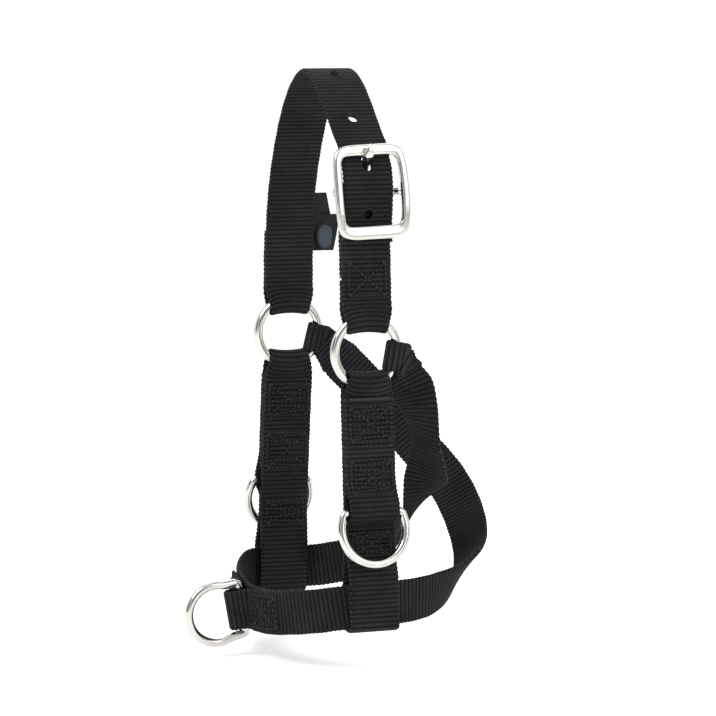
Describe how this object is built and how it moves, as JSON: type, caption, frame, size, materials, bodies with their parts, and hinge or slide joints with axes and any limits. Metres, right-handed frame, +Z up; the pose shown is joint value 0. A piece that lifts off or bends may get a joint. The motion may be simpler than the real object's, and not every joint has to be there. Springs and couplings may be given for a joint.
{
  "type": "head halter",
  "caption": "Small nylon webbing head halter with a buckled crown strap, cheek straps with D-rings and nose straps that cross behind the jaw.",
  "frame": {"origin": "under the crown strap at the poll, where the head carries the halter", "axes": "+Z up, -Y towards the nose, +X to the animal's left, the buckle side"},
  "size_m": [0.1012, 0.1174, 0.2114],
  "materials": {
    "webbing": "ribbed nylon",
    "nickel": "bright nickel plate",
    "thread": "bonded nylon",
    "label": "woven",
    "label_oval": "woven"
  },
  "bodies": {
    "root": {"crown_strap": "webbing", "buckle_billet": "webbing", "buckle_frame": "nickel", "label_tag": "label", "label_patch": "label_oval", "crown_stitching": "thread", "billet_stitching": "thread", "label_stitching": "thread"},
    "tongue": {"buckle_tongue": "nickel"},
    "left_ring": {"left_upper_ring": "nickel"},
    "right_ring": {"right_upper_ring": "nickel"},
    "lower": {"left_cheek_strap": "webbing", "right_cheek_strap": "webbing", "left_nose_strap": "webbing", "right_nose_strap": "webbing", "left_cheek_top_stitching": "thread", "left_cheek_pocket_stitching": "thread", "left_cheek_loop_stitching": "thread", "right_cheek_top_stitching": "thread", "right_cheek_pocket_stitching": "thread", "right_cheek_loop_stitching": "thread", "left_nose_end_stitching": "thread", "right_nose_end_stitching": "thread", "nose_lap_stitching": "thread"},
    "left_d_ring": {"left_side_ring": "nickel"},
    "right_d_ring": {"right_side_ring": "nickel"},
    "lead_d_ring": {"lead_ring": "nickel"}
  },
  "joints": [
    {"name": "tongue_pivot", "type": "hinge", "parent": "root", "child": "tongue", "pos_m": [0.0365, 0, -0.0413], "axis": [0, 1, 0], "range_deg": [0, 5]},
    {"name": "left_ring_spin", "type": "hinge", "parent": "root", "child": "left_ring", "pos_m": [0.039, 0, -0.0985], "axis": [1, 0, 0], "continuous": true},
    {"name": "right_ring_spin", "type": "hinge", "parent": "root", "child": "right_ring", "pos_m": [-0.039, 0, -0.0985], "axis": [1, 0, 0], "continuous": true},
    {"name": "noseband_swing", "type": "hinge", "parent": "root", "child": "lower", "pos_m": [0, 0, -0.0985], "axis": [1, 0, 0], "range_deg": [-12, 12]},
    {"name": "left_side_ring_swing", "type": "hinge", "parent": "lower", "child": "left_d_ring", "pos_m": [0.0453, 0, -0.15572], "axis": [0, -1, 0], "range_deg": [-4, 150]},
    {"name": "right_side_ring_swing", "type": "hinge", "parent": "lower", "child": "right_d_ring", "pos_m": [-0.0453, -0.001, -0.15571], "axis": [-0.0011, 0.9998, -0.0174], "range_deg": [-4, 150]},
    {"name": "lead_ring_swing", "type": "hinge", "parent": "lower", "child": "lead_d_ring", "pos_m": [0, -0.0335, -0.1955], "axis": [0, -0.1736, 0.9848], "range_deg": [-70, 70]}
  ]
}
